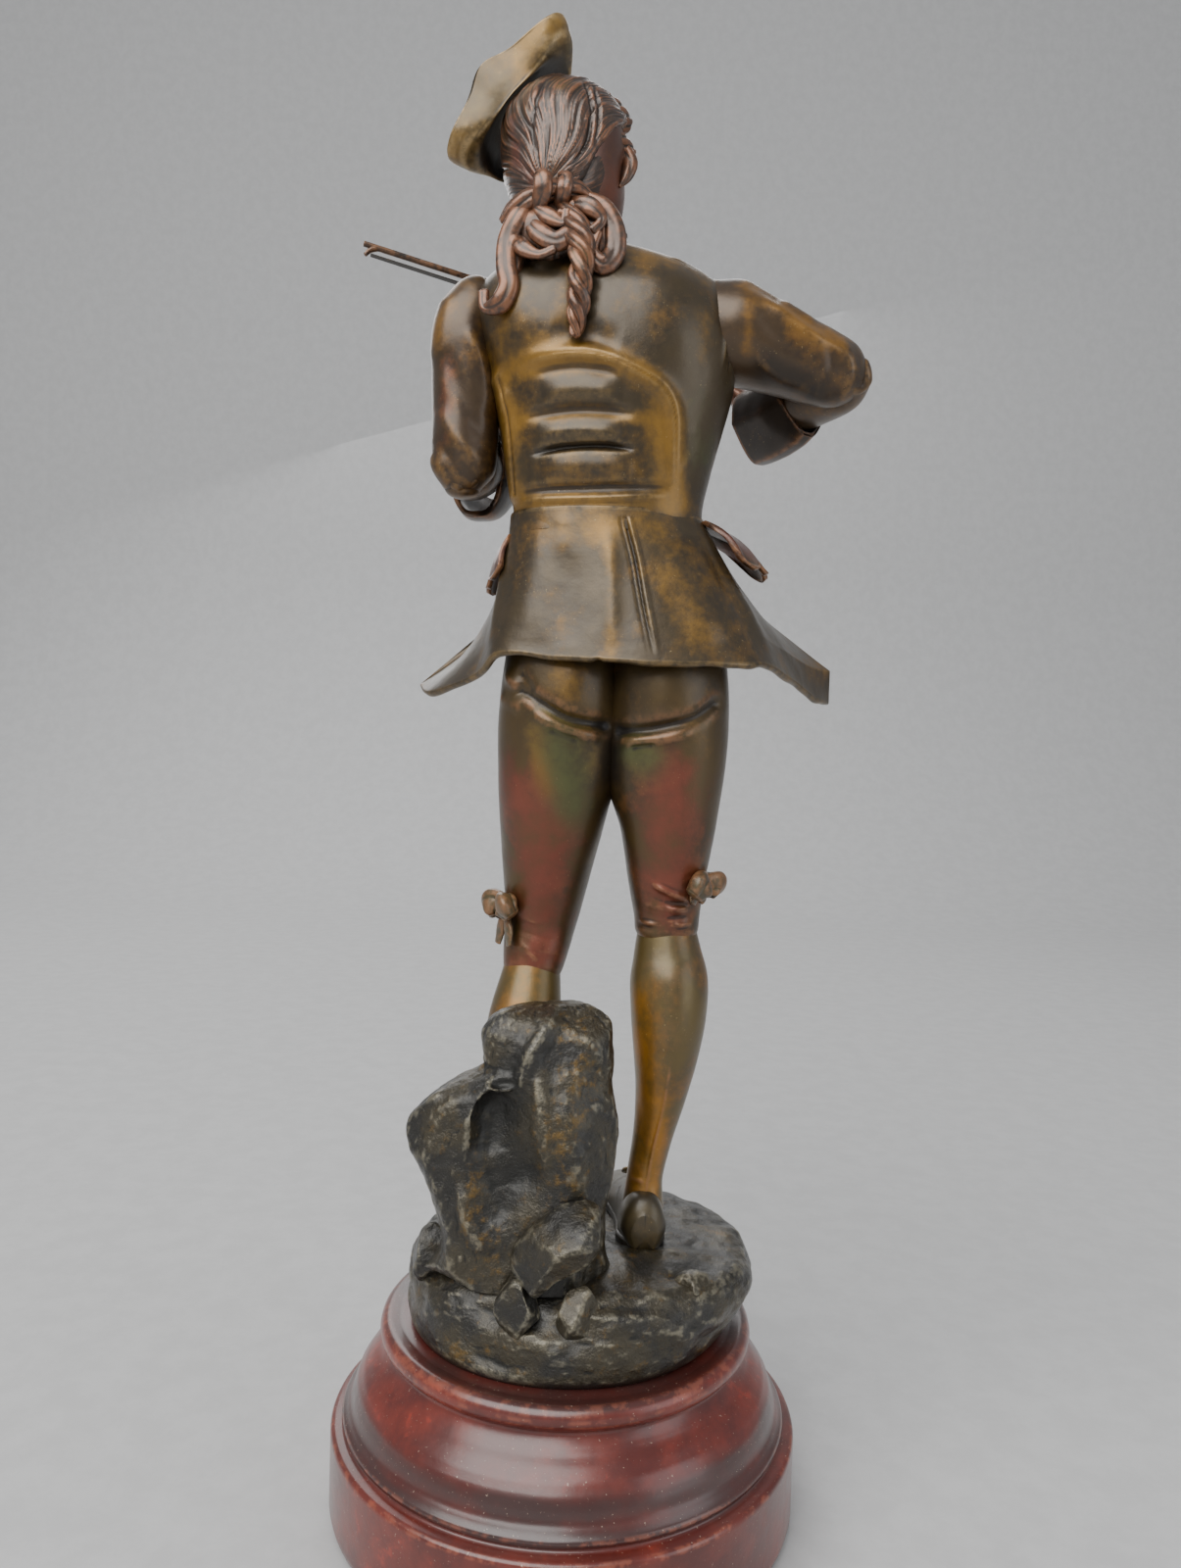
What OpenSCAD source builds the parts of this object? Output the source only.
// Bronzed figure of a young fiddler in eighteenth century dress, seen with its
// back to +Y, standing on a turned and lacquered wooden socle. Millimetres.
// +Z is up, the origin is the middle of the socle's felt underside, -Y is the
// figure's front and +X is the figure's own left.

/* [Socle] */
// Radius of the plinth ring of the socle
plinth_r = 75.5; // [74.5:0.1:76.5]
// Height of the plinth ring above the table
plinth_h = 28.4; // [27:0.1:29]
// Radius of the waist under the upper roll
neck_r = 57; // [55.5:0.1:58]
// Thickness of the felt disc under the socle
felt_t = 1.2; // [0.8:0.1:2]
// Radius of the felt disc
felt_r = 72.5; // [68:0.5:73]

/* [Centre fixing] */
// Radius of the threaded stud that holds the figure
stud_r = 3; // [2.5:0.1:3.5]
// Radial clearance of the stud in the socle's bore
stud_gap = 0.8; // [0.4:0.1:1.5]
// Radius of the recess for nut and washer
recess_r = 14; // [12:0.5:18]
// Gap between the figure and the socle it turns on
turn_gap = 0.3; // [0.2:0.05:0.5]

/* [Coat] */
// Wall thickness of the skirt casting
skirt_t = 2.2; // [1.8:0.1:3]
// Half width of the skirt at its hem
hem_half_w = 69; // [62:0.5:71]
// Drop of the front tips of the hem under the back hem
hem_dip = 6; // [0:0.5:8]

// Size of the ribbon bows at the knees, 1 for 19 mm across
knee_bow_size = 0.8; // [0.6:0.05:1]

/* [Hat] */
// Height of the turned up brim
brim_h = 13; // [9:0.5:15]
// Reach of the brim's three corners from the crown's axis
corner_r = 31.5; // [28:0.5:33]

/* [Fiddle and bow] */
// Length of the fiddle's body
fiddle_l = 64; // [60:0.5:66]
// Half width of the fiddle's lower bout
fiddle_w = 17; // [15:0.5:18.5]
// Height of the ribs with both plates
fiddle_h = 8; // [6.5:0.5:8]
// Radius of the bow's stick
stick_r = 1.1; // [0.9:0.05:1.3]
// Radial clearance of the bow's stick in the fist
fist_gap = 0.3; // [0.2:0.05:0.5]

/* [Detail] */
// Points around the larger garments
ring_big = 24; // [20:2:26]
// Points around the limbs
ring_limb = 16; // [14:2:18]

/* [Hidden] */
$fn = 96;
socle_top = 61.3;
seat_z = socle_top + turn_gap;
felt_z = felt_t;
recess_z = 16;

// The line of the bow, from the fist to the tip, and its unit direction.
bow_heel = [-50, -58.45, 391.0];
bow_tip = [80, -24.3, 415.9];
bow_dir = unit(bow_tip - bow_heel);

// The fiddle's frame: its tail end, the direction of its neck and its top's
// outward normal.
fiddle_tail = [9.9, -15.7, 402.4];
fiddle_dir = unit([25, -56, -27]);
fiddle_up = unit(square_to([-0.10, -0.42, 0.90], fiddle_dir));
fiddle_side = cross(fiddle_up, fiddle_dir);

// The hat's frame: crown axis and the direction of its upper corner.
hat_o = [23, -10.5, 448.2];
hat_axis = unit([0.70, -0.20, 0.66]);
hat_corner = unit(square_to([-0.55, 0.62, 0.60], hat_axis));

// ---- vectors ----
function unit(v) = v / norm(v);
function square_to(v, axis) = v - (v * axis) * axis;
function lerp(a, b, t) = a + (b - a) * t;
function flat(l) = [for (a = l) for (b = a) b];

// A level ring: centre c, half width a, half depth b, front squared by k.
function oval(c, a, b, n = ring_big, tilt = 0) = [
    for (i = [0:n - 1])
        let (t = 360 * i / n)
        [c[0] + a * cos(t), c[1] + b * sin(t), c[2] - a * cos(t) * tan(tilt)]
];

// A ring square to the path at point i; ref says where its second axis goes.
function tangent(p, i) = unit(p[min(i + 1, len(p) - 1)] - p[max(i - 1, 0)]);
function limb_ring(p, i, a, b, ref, n) =
    let (t = tangent(p, i), w = unit(square_to(ref, t)), s = cross(w, t))
    [for (k = [0:n - 1]) p[i] + a * cos(360 * k / n) * s + b * sin(360 * k / n) * w];

// ---- solids from rings ----
// Skins a list of rings, each with the same number of points running
// anticlockwise seen from the last ring.
module loft(rings) {
    n = len(rings[0]);
    m = len(rings);
    polyhedron(points = flat(rings), faces = concat(
        [[for (i = [0:n - 1]) i]],
        [for (k = [0:m - 2]) for (i = [0:n - 1])
            [k * n + i, (k + 1) * n + i, (k + 1) * n + (i + 1) % n, k * n + (i + 1) % n]],
        [[for (i = [n - 1:-1:0]) (m - 1) * n + i]]), convexity = 6);
}

// A limb along path p with half widths a and half depths b at its points.
module limb(p, a, b, ref = [0, 0, 1], n = ring_limb)
    loft([for (i = [0:len(p) - 1]) limb_ring(p, i, a[i], b[i], ref, n)]);

// An open shell: every row gives the outer points and then the inner points
// back again, so the loft of the rows is a curved wall.
function wall_row(outer, inner) = concat(outer, [for (i = [len(inner) - 1:-1:0]) inner[i]]);

// A slab in the frame o, x, y, z: the closed outline pts pushed from z0 to z1.
module slab(o, x, y, z, pts, z0, z1)
    loft([for (h = [z0, z1]) [for (p = pts) o + p[0] * x + p[1] * y + h * z]]);

// A cylinder from point a to point b.
module rod(a, b, r, sides = 48) {
    d = b - a;
    translate(a) rotate([0, acos(d[2] / norm(d)), atan2(d[1], d[0])])
        cylinder(r = r, h = norm(d), $fn = sides);
}

// A smooth made-up roughness for cast rock, between -1 and 1.
function rough(t, h) = 0.5 * sin(3 * t + 7 * h) + 0.3 * sin(5 * t - 11 * h + 40) + 0.2 * sin(8 * t + 90);

// A rock ring with its own roughness.
function rock_ring(c, a, b, amp, n = 20) = [
    for (i = [0:n - 1])
        let (t = 360 * i / n, f = 1 + amp * rough(t, c[2] * 3))
        [c[0] + a * f * cos(t), c[1] + b * f * sin(t), c[2]]
];

// ---- socle ----
module socle() color([0.36, 0.12, 0.08]) difference() {
    rotate_extrude(convexity = 4) polygon([
        [stud_r + stud_gap, recess_z], [recess_r, recess_z], [recess_r, felt_z], [plinth_r - 1.6, felt_z],
        [plinth_r - 0.4, felt_z + 1.4], [plinth_r, felt_z + 3], [plinth_r, plinth_h - 1.4],
        [plinth_r - 0.5, plinth_h - 0.3], [plinth_r - 1.6, plinth_h],
        [71.4, 29.0], [71.0, 29.7], [71.7, 30.5], [71.9, 31.4], [71.3, 32.3], [70.4, 32.9],
        [70.2, 33.6], [69.5, 34.2], [68.9, 35.6], [68.3, 38], [67.2, 41], [65.2, 44], [62.6, 46.6],
        [60.2, 48.6], [58.5, 50.6], [neck_r + 0.5, 52.2], [neck_r, 53.5],
        [59.0, 54.6], [60.2, 56.2], [60.5, 57.8], [60.1, 59.4], [59.2, 60.6], [58.1, socle_top - 0.1],
        [57.5, socle_top], [53.6, socle_top - 0.4], [52.4, socle_top], [stud_r + stud_gap, socle_top]]);
}

module base_felt() color([0.10, 0.16, 0.12]) cylinder(r = felt_r, h = felt_z);

// ---- ground and fixing ----
module terrace() color([0.20, 0.18, 0.14]) difference() {
    loft([rock_ring([0, 0, seat_z], 50, 50, 0.005, 32),
          rock_ring([-1, 1, 65], 52.5, 51, 0.015, 32),
          rock_ring([-3, 1, 71], 55, 50.5, 0.03, 32),
          rock_ring([-4.5, 0, 77], 57, 50, 0.035, 32),
          rock_ring([-4.5, -1, 82], 56, 47.5, 0.035, 32),
          rock_ring([-4.5, -1, 86], 52, 43, 0.03, 32),
          rock_ring([-4.5, -1, 88], 44, 35, 0.02, 32)]);
    translate([0, 0, seat_z - 1]) cylinder(r = stud_r, h = 13);
}

module rock_outcrop() color([0.18, 0.17, 0.14]) loft([
    rock_ring([15, 26, 85], 29, 18, 0.03), rock_ring([16, 26, 99], 25, 16, 0.04),
    rock_ring([18, 25, 112], 28, 15, 0.03), rock_ring([18, 24, 124], 31.5, 14, 0.03),
    rock_ring([17, 23, 134], 30, 13, 0.03), rock_ring([14, 21.5, 142], 26.5, 12, 0.03),
    rock_ring([9, 20, 151], 21, 10.5, 0.03), rock_ring([6.5, 18, 158], 17.5, 8.5, 0.03),
    rock_ring([4.5, 16.5, 162.5], 12, 6, 0.02)]);

module stone(c, r, h) loft([
    rock_ring(c, r[0], r[1], 0.05, 12), rock_ring(c + [0, 0, h * 0.45], r[0] * 1.05, r[1] * 1.05, 0.06, 12),
    rock_ring(c + [0, 0, h * 0.8], r[0] * 0.8, r[1] * 0.8, 0.05, 12),
    rock_ring(c + [0, 0, h], r[0] * 0.35, r[1] * 0.35, 0.03, 12)]);

module loose_stones() color([0.20, 0.18, 0.14]) {
    stone([42, 20, 80], [9, 8], 19);
    stone([14, 44, 76], [8, 6], 17);
    stone([-4, 45, 74], [9, 6.5], 18);
    stone([-38, 31, 76], [10, 8], 14);
}

module fixing_stud() color([0.72, 0.6, 0.35]) translate([0, 0, 5]) cylinder(r = stud_r, h = seat_z + 7);

module fixing_washer() color([0.7, 0.7, 0.7]) translate([0, 0, recess_z - turn_gap - 1.6]) difference() {
    cylinder(r = 9, h = 1.6);
    translate([0, 0, -1]) cylinder(r = stud_r + 0.2, h = 4);
}

module fixing_nut() color([0.7, 0.7, 0.7]) translate([0, 0, recess_z - turn_gap - 6.6]) difference() {
    cylinder(r = 5.77, h = 5, $fn = 6);
    translate([0, 0, -1]) cylinder(r = stud_r, h = 7);
}

// ---- feet ----
// A buckled shoe along its own length: heel at o, pointing along yaw from -Y.
module shoe(o, yaw) {
    f = [sin(yaw), -cos(yaw), 0];
    s = [cos(yaw), sin(yaw), 0];
    // stations: distance, half width, height of the upper
    st = [[-3, 3.6, 12], [0, 6.2, 16.5], [8, 7, 18], [17, 6.8, 17], [26, 7.6, 13.5], [36, 9.2, 10],
          [45, 9.4, 8.2], [52, 7.6, 6.6], [56.5, 4, 4]];
    loft([for (q = st) [for (k = [0:15])
        let (t = 360 * k / 16)
        o + f * q[0] - s * q[1] * cos(t) * (sin(t) > 0 ? 0.80 + 0.2 * (1 - sin(t)) : 1)
          + [0, 0, sin(t) > 0 ? 2.5 + (q[2] - 2.5) * sin(t) : 2.5 + 2.5 * sin(t)]]]);
}

module left_shoe() color([0.27, 0.24, 0.13]) shoe([15.5, 6, 86.6], 16);
module right_shoe() color([0.27, 0.24, 0.13]) shoe([-24, 14.5, 86.6], 4);

module buckle(c, yaw) translate(c) rotate([28, 0, yaw]) difference() {
    cube([9.5, 7.5, 2.2], center = true);
    cube([6, 4, 6], center = true);
}

module left_buckle() color([0.6, 0.5, 0.25]) buckle([21.2, -15.6, 104.4], 16);
module right_buckle() color([0.6, 0.5, 0.25]) buckle([-22.4, -7.6, 104.6], 4);

// ---- legs ----
module left_stocking() color([0.50, 0.36, 0.12]) limb(
    [[15.6, 2, 99.5], [16, 2.4, 105], [16.8, 3, 118], [17.4, 3, 132], [17.3, 2, 144], [16.5, 0, 156],
     [15.2, -3.5, 168], [14.2, -5.5, 177]],
    [6.2, 5.8, 7.6, 10.6, 12, 12, 10.2, 8.6], [6.6, 6, 7.8, 11, 12.4, 12, 10.2, 8.6], [0, 1, 0]);

module right_stocking() color([0.50, 0.36, 0.12]) limb(
    [[-24, 6, 100.5], [-24.4, 5, 108], [-26.4, 4.8, 120], [-28.6, 5.2, 134], [-29.8, 5.2, 146],
     [-30.4, 4.6, 158], [-30.3, 3, 171], [-29.6, 1.6, 181], [-29, 1, 190]],
    [6.3, 5.7, 6.4, 8.2, 10.2, 11.9, 12.6, 10.8, 9], [6.6, 6, 6.8, 8.8, 11, 12.6, 12.8, 11, 9], [0, 1, 0]);

module left_breeches_leg() color([0.34, 0.28, 0.11]) limb(
    [[14.6, -5.2, 171.5], [13.8, -6.6, 178], [12.2, -8.4, 189], [10.8, -6, 206], [9.4, -2, 228],
     [9.2, 0, 246], [9.0, 1, 262]],
    [9.6, 10.8, 12.2, 14.8, 17.8, 18.6, 17], [9.8, 11, 12.6, 15, 18, 19, 17], [0, 1, 0]);

module right_breeches_leg() color([0.34, 0.28, 0.11]) limb(
    [[-29, 1, 186.5], [-29, 0.6, 193], [-28.5, 0.6, 206], [-28.6, 1.2, 222], [-28.9, 1.8, 240],
     [-28, 2, 262]],
    [10.6, 10.8, 12.8, 15.2, 17, 17], [10.8, 11.2, 13.4, 16, 18.4, 18], [0, 1, 0]);

module breeches_seat() color([0.34, 0.28, 0.11]) loft([
    oval([-10, 0.5, 249], 30, 15), oval([-9.5, 0.5, 256], 36.5, 20), oval([-9.2, 1, 268], 38, 22.5),
    oval([-8.6, 1, 280], 36, 22), oval([-7, 1, 294], 31, 19.5), oval([-6, 1, 307], 27.5, 17.5)]);

// A ribbon bow: both loops and the knot in one sweep, and two hanging tails.
module knee_bow(c, out, down, tails = 1) {
    k = knee_bow_size;
    along = cross(out, down);
    limb([for (q = [[-9.6, 2.4, 0], [-8.4, -1.4, 1], [-5, -2.8, 1.4], [-2.6, -1, 1.4], [0, 0, 1.8], [2.6, -1, 1.4],
                    [5, -2.8, 1.4], [8.4, -1.4, 1], [9.6, 2.4, 0]]) c + (along * q[0] + down * q[1] + out * q[2]) * k],
         [1, 1.9, 2, 1.6, 2.6, 1.6, 2, 1.9, 1] * k, [1.2, 2.6, 3.2, 1.8, 2.8, 1.8, 3.2, 2.6, 1.2] * k, down, 12);
    for (e = [-1, 1])
        limb([for (q = [[1.6, 3.6], [2.6, 7], [4.2, 11.5], [5.6, 16]]) c + (along * q[0] * e + down * q[1] * tails + out * 0.4) * k],
             [1.2, 1.7, 2.1, 1.6] * k, [0.9, 1.1, 1.1, 0.8] * k, out, 10);
}

module left_knee_bow() color([0.36, 0.29, 0.12])
    knee_bow([23.2, -2.4, 189], unit([0.88, 0.48, 0]), [0.1, 0.1, -0.98]);
module right_knee_bow() color([0.36, 0.29, 0.12])
    knee_bow([-38.6, 6.4, 199.5], unit([-0.86, 0.51, 0]), [-0.1, 0.1, -0.98], 0.6);

// ---- coat ----
module coat_body() color([0.36, 0.27, 0.12]) loft([
    oval([-6, 1.5, 313], 31.5, 21), oval([-5.7, 1.2, 322], 30.5, 20.5), oval([-5.4, 1, 334], 33, 22),
    oval([-5.8, 1, 348], 36, 24), oval([-5.5, 1, 362], 39.5, 25.5), oval([-3.5, 1, 376], 41.5, 25.5, tilt = 1),
    oval([-1.5, 1.2, 386], 41, 23.5, tilt = 3), oval([0.5, 1.5, 393.5], 36, 19.5, tilt = 4),
    oval([2.5, 2, 399.5], 25, 15.5, tilt = 3), oval([3.5, 2.2, 403.5], 15, 12.5)]);

// The skirt hangs from the waist ring to a hem curve through hand placed
// points, from the left front corner round the back to the right front corner.
hem_pts = [[0.80, -26, 266.5], [0.74, -12, 263.5], [0.56, 6, 268], [0.46, 19, 274.5], [0.25, 27, 273.5],
           [0, 30.5, 272.5], [-0.28, 29, 272.5], [-0.50, 24.5, 273], [-0.64, 15, 273.5], [-0.80, -2, 269.5],
           [-0.94, -16, 265], [-1.03, -26, 264]];
hem_mid = -14;
// Point t (0 to 1) of the smooth curve through the points p.
function through(p, t) =
    let (n = len(p) - 1, i = min(n - 1, floor(t * n)), u = t * n - i,
         a = p[max(0, i - 1)], b = p[i], c = p[i + 1], d = p[min(n, i + 2)])
    0.5 * (2 * b + (c - a) * u + (2 * a - 5 * b + 4 * c - d) * u * u + (3 * b - a - 3 * c + d) * u * u * u);
function hem_at(s) = let (q = through(hem_pts, s))
    [hem_mid + q[0] * hem_half_w * (q[0] > 0 ? 1.29 : 1), q[1], q[2] - (hem_dip - 6) * pow(abs(2 * s - 1), 2)];
function waist_at(s) = let (t = -62 + s * 304) [-5.6 + 31 * cos(t), 1 + 21 * sin(t), 320];
// How far each part of the skirt has swung out at v of the way down.
function swing(s, v) = s < 0.35 ? pow(v, lerp(1.75, 1.15, s / 0.35)) :
    s > 0.7 ? lerp(pow(v, 1.15), min(1, v / 0.8), (s - 0.7) / 0.3) : pow(v, 1.15);
function skirt_arc(v, inset) = [
    for (k = [0:32])
        let (s = k / 32, w = waist_at(s), h = hem_at(s), f = swing(s, v),
             a = hem_at(max(0, s - 0.02)), b = hem_at(min(1, s + 0.02)),
             out = unit([-(b - a)[1], (b - a)[0], 0]))
        [lerp(w[0], h[0], f), lerp(w[1], h[1], f), lerp(w[2], h[2], v)] + out * inset
];
module coat_skirt() color([0.36, 0.27, 0.12])
    loft([for (v = [1, 0.86, 0.72, 0.58, 0.44, 0.3, 0.15, 0]) wall_row(skirt_arc(v, 0), skirt_arc(v, skirt_t))]);

// A pocket flap lies on the skirt between s0 and s1, from v0 down to v1, and
// stands off it more and more towards its scalloped lower edge.
function skirt_point(s, v, off) = let (w = waist_at(s), h = hem_at(s), f = swing(s, v),
    a = hem_at(max(0, s - 0.02)), b = hem_at(min(1, s + 0.02)), out = unit([(b - a)[1], -(b - a)[0], 0.25]))
    [lerp(w[0], h[0], f), lerp(w[1], h[1], f), lerp(w[2], h[2], v)] + out * off;
module flap(s0, s1, v0, v1)
    loft([for (k = [0:8]) let (t = k / 8, s = lerp(s0, s1, t), low = v1 - 0.03 * (1 - cos(720 * t)))
        [skirt_point(s, v0, -0.8), skirt_point(s, lerp(v0, low, 0.5), -0.8), skirt_point(s, low, -0.8),
         skirt_point(s, low, 3.2), skirt_point(s, lerp(v0, low, 0.5), 2.2), skirt_point(s, v0, 1)]]);
module left_pocket_flap() color([0.45, 0.30, 0.2]) flap(0.10, 0.27, 0.16, 0.46);
module right_pocket_flap() color([0.45, 0.30, 0.2]) flap(0.75, 0.91, 0.05, 0.42);

module waistcoat() color([0.40, 0.32, 0.15]) limb(
    [[-7, -17, 284], [-6.5, -17.5, 297], [-6, -15.5, 312], [-5.5, -14, 328], [-4, -16, 348], [-2, -16.5, 366],
     [0, -14.8, 380], [2, -12.5, 391]],
    [20, 23, 23, 22, 23, 21, 15, 8], [6, 8.4, 9.6, 10, 10.8, 10.6, 9, 6], [0, 1, 0], 18);

module jabot() color([0.42, 0.34, 0.2]) limb(
    [[-3, -27.2, 360], [-1.5, -28.2, 368], [0, -27.6, 377], [1.5, -24.5, 386], [2.6, -20, 394.5], [3, -15, 401]],
    [3.5, 7, 7.5, 6.2, 5.6, 6], [1.2, 2.4, 2.8, 2.6, 2.8, 3], [0, 1, 0], 14);

module coat_collar() color([0.33, 0.25, 0.11]) loft([
    oval([3.6, 2.2, 398], 15.5, 13.2, tilt = 6), oval([3.8, 2, 402], 14.6, 12.8, tilt = 7),
    oval([4.2, 1.6, 406.5], 13.2, 12, tilt = 8), oval([4.4, 1.4, 408.5], 12, 11, tilt = 8)]);

// ---- arms ----
module left_upper_sleeve() color([0.36, 0.27, 0.12]) limb(
    [[33.5, 1, 389.5], [37.5, 1.2, 386.5], [40.6, 1.4, 378], [41, 1.6, 366], [40.8, 2, 352], [40.8, 2.4, 341],
     [40.9, 2.6, 333], [41, 2, 327.6]],
    [6.5, 9.6, 11, 11, 10.6, 10.4, 9.6, 5.6], [7.5, 10.6, 12.6, 12.6, 11.6, 11, 9.8, 5.8], [0, 1, 0]);

module left_forearm() color([0.36, 0.27, 0.12]) limb(
    [[41, 7, 333], [40.4, 0, 334.5], [38.4, -10, 337.5], [35, -24, 343], [32.4, -35, 348.5]],
    [7, 9.6, 9.8, 9, 8.2], [7, 9.4, 9.8, 9, 8], [0, 0, 1]);

module left_cuff() color([0.22, 0.16, 0.12]) limb(
    [[38.2, -9.6, 335], [36.8, -15, 335.6], [34.9, -24, 339], [33.2, -33, 343.5]],
    [10.8, 12.2, 12.6, 13.2], [13, 15.2, 14.6, 13.8], [0, 0, 1]);

module right_upper_sleeve() color([0.36, 0.27, 0.12]) limb(
    [[-34, 1.5, 384], [-42, 1.2, 381], [-52, 1, 377.5], [-63, 0.6, 373.6], [-73, -0.4, 370.6],
     [-81, -2, 368.6], [-86.5, -3.6, 367.6]],
    [12.5, 15.4, 15.2, 13.6, 11.9, 10.2, 5.4], [13, 16.2, 14.8, 13, 12, 10.2, 5.4], [0, 0, 1]);

module right_forearm() color([0.36, 0.27, 0.12]) limb(
    [[-83, 2.5, 368.2], [-80, -5, 367.6], [-73.5, -16, 366.4], [-65.5, -29, 364.8], [-59.5, -39.5, 364]],
    [6.6, 9.8, 10, 9.2, 8.2], [6.6, 9.8, 10, 9.2, 8.2], [0, 0, 1]);

module right_cuff() color([0.22, 0.16, 0.12]) limb(
    [[-71.2, -19.6, 364.6], [-68.4, -24, 363.8], [-63.4, -31.5, 363], [-59, -38.6, 362.6]],
    [11, 11.8, 12.6, 13.4], [11.2, 12.4, 13, 13.4], [0, 0, 1]);

// ---- hands ----
module finger(p, r) limb(p, [for (i = [0:len(p) - 1]) r * (i == len(p) - 1 ? 0.62 : 1)],
                            [for (i = [0:len(p) - 1]) r * (i == len(p) - 1 ? 0.62 : 1)], [0.3, 0.5, 0.8], 8);

module left_hand() color([0.45, 0.30, 0.22]) {
    limb([[33, -33, 348], [31.6, -42, 352.5], [31, -50, 357.5], [32.4, -57, 362], [34.5, -62, 363.5]],
         [5.4, 5, 6.6, 7.4, 5], [5.2, 4.4, 4.6, 4.6, 3.2], [0, 0.5, 0.8]);
    for (k = [0:3]) {
        q = [35 + k * 1.2, -58 - k * 3.6, 362.6 - k * 0.8];
        finger([q, q + [6, -1, 3], q + [7.4, -2, 9], q + [2.6, -2, 12.6]], 2.1);
    }
    finger([[27.6, -48, 357], [24.6, -54.5, 362], [24.4, -60, 368.5]], 2.3);
}

module right_hand() color([0.45, 0.30, 0.22]) difference() {
    union() {
        limb([[-60.5, -38, 364.5], [-57, -44.5, 368.5], [-53.5, -50, 375], [-50.5, -54, 382.5], [-47.5, -56.5, 388.6]],
             [5.4, 5, 6.4, 7.2, 5.6], [5.2, 4.4, 4.6, 5, 5.2], [0.5, -0.6, 0.2]);
        for (k = [0:3]) {
            q = [-47.4 + k * 3.5, -55.6 + k * 0.8, 388.6 + k * 0.7];
            finger([q, q + [0.3, -1, 5.6], q + [0.4, -5.4, 6.6], q + [0.3, -7.6, 2], q + [0.3, -6, -1.8]], 2.1);
        }
    }
    rod(bow_heel - bow_dir * 14, bow_heel + bow_dir * 40, stick_r + fist_gap);
}

// ---- head ----
head_yaw = -34;
face_dir = [sin(head_yaw), -cos(head_yaw), 0];
face_side = [cos(head_yaw), sin(head_yaw), 0];
// A level section of the head: shift along the face, half width, half depth and
// how far the nose stands out of it.
function head_ring(z, shift, a, b, nose = 0, lean = 0) = [
    for (k = [0:23])
        let (t = 15 * k, at_nose = abs(t - 270) < 8 ? nose : 0)
        [9.5, -2, z] + face_dir * (shift - (b + at_nose) * sin(t)) + face_side * a * cos(t) + [lean, 0, 0]
];
module head() color([0.43, 0.30, 0.24]) union() {
    limb([[4.2, 2, 397], [5, 1.2, 404], [6.4, 0, 411], [8, -1, 418]], [10.6, 10.2, 10.4, 11], [10.8, 10.6, 11.6, 13], [0, 1, 0], 20);
    loft([head_ring(408.5, 11.5, 4.5, 5), head_ring(410, 8.5, 8.2, 9.4), head_ring(413.5, 5.5, 11.6, 13.6),
          head_ring(417.5, 3.2, 13.6, 16.8), head_ring(420.5, 2, 14.6, 18.4, 1), head_ring(422.6, 1.2, 15, 19, 4),
          head_ring(427, 0.6, 15.6, 19.6, 3), head_ring(431.5, 0, 16.4, 19.6, 1.4), head_ring(438, -0.5, 17, 20.4),
          head_ring(444, -1, 16.2, 19.6), head_ring(449.5, -1.2, 13, 16), head_ring(453, -1.4, 6.5, 8)]);
}

// The dressed hair: a wall round the back of the skull.
function hair_arc(z, c, a, b, from, inset) = [
    for (k = [0:20])
        let (t = from + k * (180 - 2 * from) / 20)
        [c[0], c[1], z] - face_dir * (b - inset) * sin(t) + face_side * (a - inset) * cos(t)
];
function hair_row(z, c, a, b, from = -6, th = 5) = wall_row(hair_arc(z, c, a, b, from, 0), hair_arc(z, c, a, b, from, th));
module hair() color([0.30, 0.22, 0.18]) loft([
    hair_row(411.5, [14, 8], 8, 11.5, -4, 4), hair_row(416.5, [12.6, 6], 13.6, 14, -6), hair_row(423, [11.4, 3], 18, 18.4, -8),
    hair_row(431, [10.6, 0], 20.6, 20.8, -12), hair_row(439, [10.8, -1.4], 21.2, 21, -14),
    hair_row(447, [11.6, -1.6], 19, 18.6, -14, 6), hair_row(453, [12, -2], 14.5, 14.2, -14, 7),
    hair_row(456.5, [12.2, -2], 9.6, 9.4, -14, 6.4)]);

module curl(c, r, l) rod(c - face_dir * l / 2 + [0, 0, 0.6], c + face_dir * l / 2 - [0, 0, 0.6], r, 32);
module temple_curls() color([0.30, 0.22, 0.18]) {
    curl([-2.6, -2.2, 447.4], 5, 13);
    curl([-5, -2.4, 438.6], 4, 11.5);
    curl([26, -20, 438], 4.6, 12);
}

module queue_ribbon() color([0.36, 0.27, 0.2]) limb(
    [[29, 18, 405.6], [26, 19, 408.6], [21.5, 20, 410.8], [18, 20.6, 412.2], [15.6, 20.8, 413], [13.2, 20.7, 413],
     [9.6, 20.4, 414.4], [5, 19.4, 415], [2.2, 18.4, 412]],
    [1.2, 2.2, 2.6, 2.6, 4.4, 2.6, 2.6, 2.2, 1.2], [1.8, 3.6, 3.6, 2.6, 4.6, 2.6, 3.6, 3.6, 1.8], [0, 0.3, 1], 14);

module queue_braid() color([0.36, 0.26, 0.16]) limb(
    [[9.5, 19, 408], [6, 24.5, 401], [4, 27.6, 393], [4.6, 28.6, 384], [5.2, 28.4, 376], [5.6, 27.8, 369.5]],
    [3, 4.4, 4.8, 4.2, 4.2, 2.6], [2.6, 3.8, 4, 3.4, 3, 1.8], [0, 1, 0]);

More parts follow.
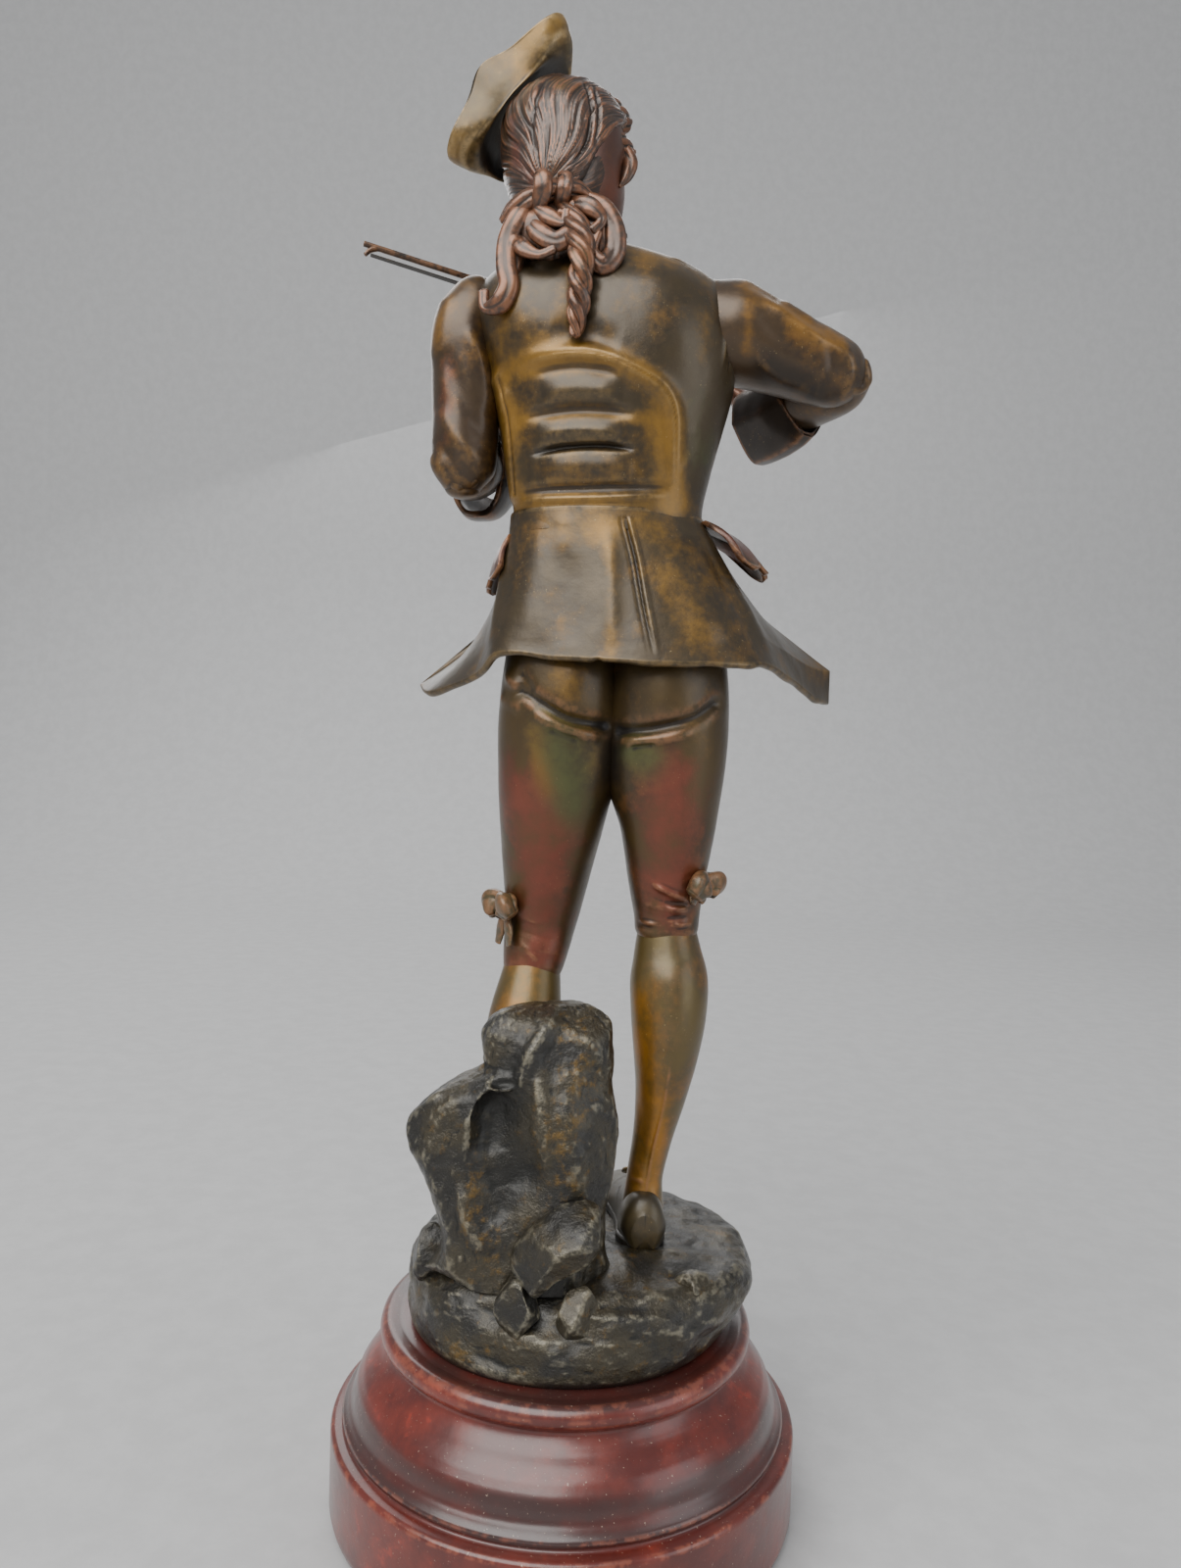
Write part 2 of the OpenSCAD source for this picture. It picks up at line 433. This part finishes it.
module back_curls() color([0.34, 0.25, 0.18]) {
    limb([[22, 17.5, 408], [26.4, 18.6, 401], [27.2, 20.4, 392], [27, 21.6, 384], [31, 20.6, 378]],
         [3, 3.4, 3, 3.2, 1.8], [2.6, 3, 2.6, 2.8, 1.6], [0, 1, 0], 12);
    limb([[19.6, 19.5, 407], [20.4, 22.4, 399], [13, 24.4, 394.4], [8.6, 24, 398.4]],
         [2.6, 4.2, 3.8, 2], [2.4, 3.4, 3.2, 1.8], [0, 1, 0.2], 12);
    limb([[5, 19, 407], [-1.4, 20.4, 402.4], [-4.4, 21.4, 394.6], [-1.4, 23, 388.6]],
         [2.6, 4, 3.8, 1.8], [2.4, 3.2, 3, 1.6], [0, 1, 0.2], 12);
}

// ---- hat ----
hat_x = hat_corner;
hat_y = cross(hat_axis, hat_x);
// A ring of the hat: mean radius r, corner swell k, height h with lift at the
// middle of each side.
function hat_ring(r, k, h, lift = 0) = [
    for (i = [0:35])
        let (t = 10 * i, c = cos(3 * t), rr = r + k * (c > 0 ? pow(c, 1.3) : -pow(-c, 0.8) * 0.45))
        hat_o + rr * cos(t) * hat_x + rr * sin(t) * hat_y + (h + lift * (1 - c) / 2) * hat_axis
];
module tricorne_hat() color([0.55, 0.42, 0.14]) loft([
    hat_ring(7, 0, 8), hat_ring(16, 0.4, 3.5), hat_ring(20.6, 3, 1.4), hat_ring(23, corner_r - 25, 2.6),
    hat_ring(24.4, corner_r - 25.6, brim_h * 0.45, 1.6), hat_ring(24.6, corner_r - 24.6, brim_h * 0.72, 4.4),
    hat_ring(22.8, corner_r - 25.6, brim_h * 0.74, 4.4), hat_ring(21.4, 4, brim_h * 0.42, 1.4),
    hat_ring(18.2, 1, 6), hat_ring(16.8, 0.2, 11), hat_ring(14, 0, 15), hat_ring(7.5, 0, 17.6)]);

// ---- fiddle ----
// A point in the fiddle's frame: s along the neck, w to its side, h up.
function fid(s, w, h) = fiddle_tail + s * fiddle_dir + w * fiddle_side + h * fiddle_up;
function fiddle_half(u) = fiddle_w * (u < 0.5
    ? 1 - 0.36 * pow((u - 0.22) / 0.28, 2) * (u > 0.22 ? 1 : 1.25)
    : 0.64 + 0.18 * sin(min(1, (u - 0.5) / 0.28) * 90) - (u > 0.78 ? 0.62 * pow((u - 0.78) / 0.22, 2.2) : 0));
fiddle_u = [0, 0.02, 0.06, 0.12, 0.2, 0.28, 0.36, 0.43, 0.5, 0.57, 0.64, 0.72, 0.8, 0.87, 0.93, 0.97, 1];
module fiddle_body() color([0.30, 0.20, 0.12]) slab(fiddle_tail, fiddle_dir, fiddle_side, fiddle_up,
    concat([for (u = fiddle_u) [u * fiddle_l, -max(2, fiddle_half(u) * (u < 0.06 ? 0.45 + u * 8 : 1))]],
           [for (i = [len(fiddle_u) - 1:-1:0]) let (u = fiddle_u[i])
               [u * fiddle_l, max(2, fiddle_half(u) * (u < 0.06 ? 0.45 + u * 8 : 1))]]),
    -fiddle_h / 2, fiddle_h / 2);

module fiddle_neck() color([0.30, 0.20, 0.12]) {
    limb([fid(fiddle_l + 0.01, 0, 0), fid(fiddle_l + 6, 0, 1.6), fid(fiddle_l + 25, 0, 1.8), fid(fiddle_l + 28, 0, 1.4),
          fid(fiddle_l + 38, 0, -1.2), fid(fiddle_l + 42, 0, -3.2)],
         [2.6, 2.4, 2.3, 2.5, 2.2, 1.8], [2.8, 1.7, 1.6, 2.6, 2.6, 2], fiddle_up, 12);
    rod(fid(fiddle_l + 43.4, -3, -3.2), fid(fiddle_l + 43.4, 3, -3.2), 3.1, 32);
}

module fingerboard() color([0.12, 0.10, 0.09]) slab(fid(0, 0, 0), fiddle_dir, fiddle_side, fiddle_up,
    [[37, -3.4], [fiddle_l + 26, -2.2], [fiddle_l + 26, 2.2], [37, 3.4]], 4.6, 6.2);

module tailpiece() color([0.12, 0.10, 0.09]) slab(fid(0, 0, 0), fiddle_dir, fiddle_side, fiddle_up,
    [[1, -1.4], [13, -3.4], [13, 3.4], [1, 1.4]], 4.9, 6.7);

module fiddle_bridge() color([0.45, 0.32, 0.18]) slab(fid(20, 0, 0), fiddle_side, fiddle_up, fiddle_dir,
    [[-4.6, 4.1], [4.6, 4.1], [3.6, 7.3], [-3.6, 7.3]], -0.8, 0.8);

module fiddle_strings() color([0.5, 0.45, 0.35]) for (w = [-2.6, -0.87, 0.87, 2.6])
    limb([fid(12.6, w, 6.8), fid(20, w * 1.1, 7.6), fid(fiddle_l + 26.4, w * 0.55, 6.8)],
         [0.35, 0.35, 0.35], [0.35, 0.35, 0.35], fiddle_up, 8);

module tuning_pegs() color([0.12, 0.10, 0.09]) for (k = [0:3]) {
    e = k % 2 == 0 ? 1 : -1;
    s = fiddle_l + 30 + k * 2.6;
    rod(fid(s, 0.8 * e, 0.6 - k * 0.7), fid(s, 8 * e, 0.6 - k * 0.7), 0.75, 24);
    rod(fid(s, 7.4 * e, 0.6 - k * 0.7), fid(s, 9.6 * e, 0.6 - k * 0.7), 1.5, 24);
}

// ---- bow ----
bow_down = unit(square_to([0.05, 0.15, -1], bow_dir));
bow_len = norm(bow_tip - bow_heel);
module bow_stick() color([0.16, 0.12, 0.10]) {
    rod(bow_heel - bow_dir * 9, bow_tip, stick_r);
    rod(bow_tip - bow_dir * 3.4, bow_tip - bow_dir * 0.8 + bow_down * 3.6, 0.9, 32);
}
module bow_hair() color([0.55, 0.48, 0.36])
    slab(bow_heel, bow_dir, cross(bow_down, bow_dir), bow_down, [[24.4, -1.2], [bow_len - 2.6, -0.8], [bow_len - 2.6, 0.8], [24.4, 1.2]], 3.0, 3.5);
module bow_frog() color([0.12, 0.10, 0.09])
    slab(bow_heel, bow_dir, cross(bow_down, bow_dir), bow_down, [[19.4, -1.7], [27.4, -1.7], [27.4, 1.7], [19.4, 1.7]], 0.9, 4.2);

socle();
base_felt();
terrace();
rock_outcrop();
loose_stones();
fixing_stud();
fixing_washer();
fixing_nut();
left_shoe();
right_shoe();
left_buckle();
right_buckle();
left_stocking();
right_stocking();
left_breeches_leg();
right_breeches_leg();
breeches_seat();
left_knee_bow();
right_knee_bow();
coat_body();
coat_skirt();
left_pocket_flap();
right_pocket_flap();
waistcoat();
jabot();
coat_collar();
left_upper_sleeve();
left_forearm();
left_cuff();
right_upper_sleeve();
right_forearm();
right_cuff();
left_hand();
right_hand();
head();
hair();
temple_curls();
queue_ribbon();
queue_braid();
back_curls();
tricorne_hat();
fiddle_body();
fiddle_neck();
fingerboard();
tailpiece();
fiddle_bridge();
fiddle_strings();
tuning_pegs();
bow_stick();
bow_hair();
bow_frog();
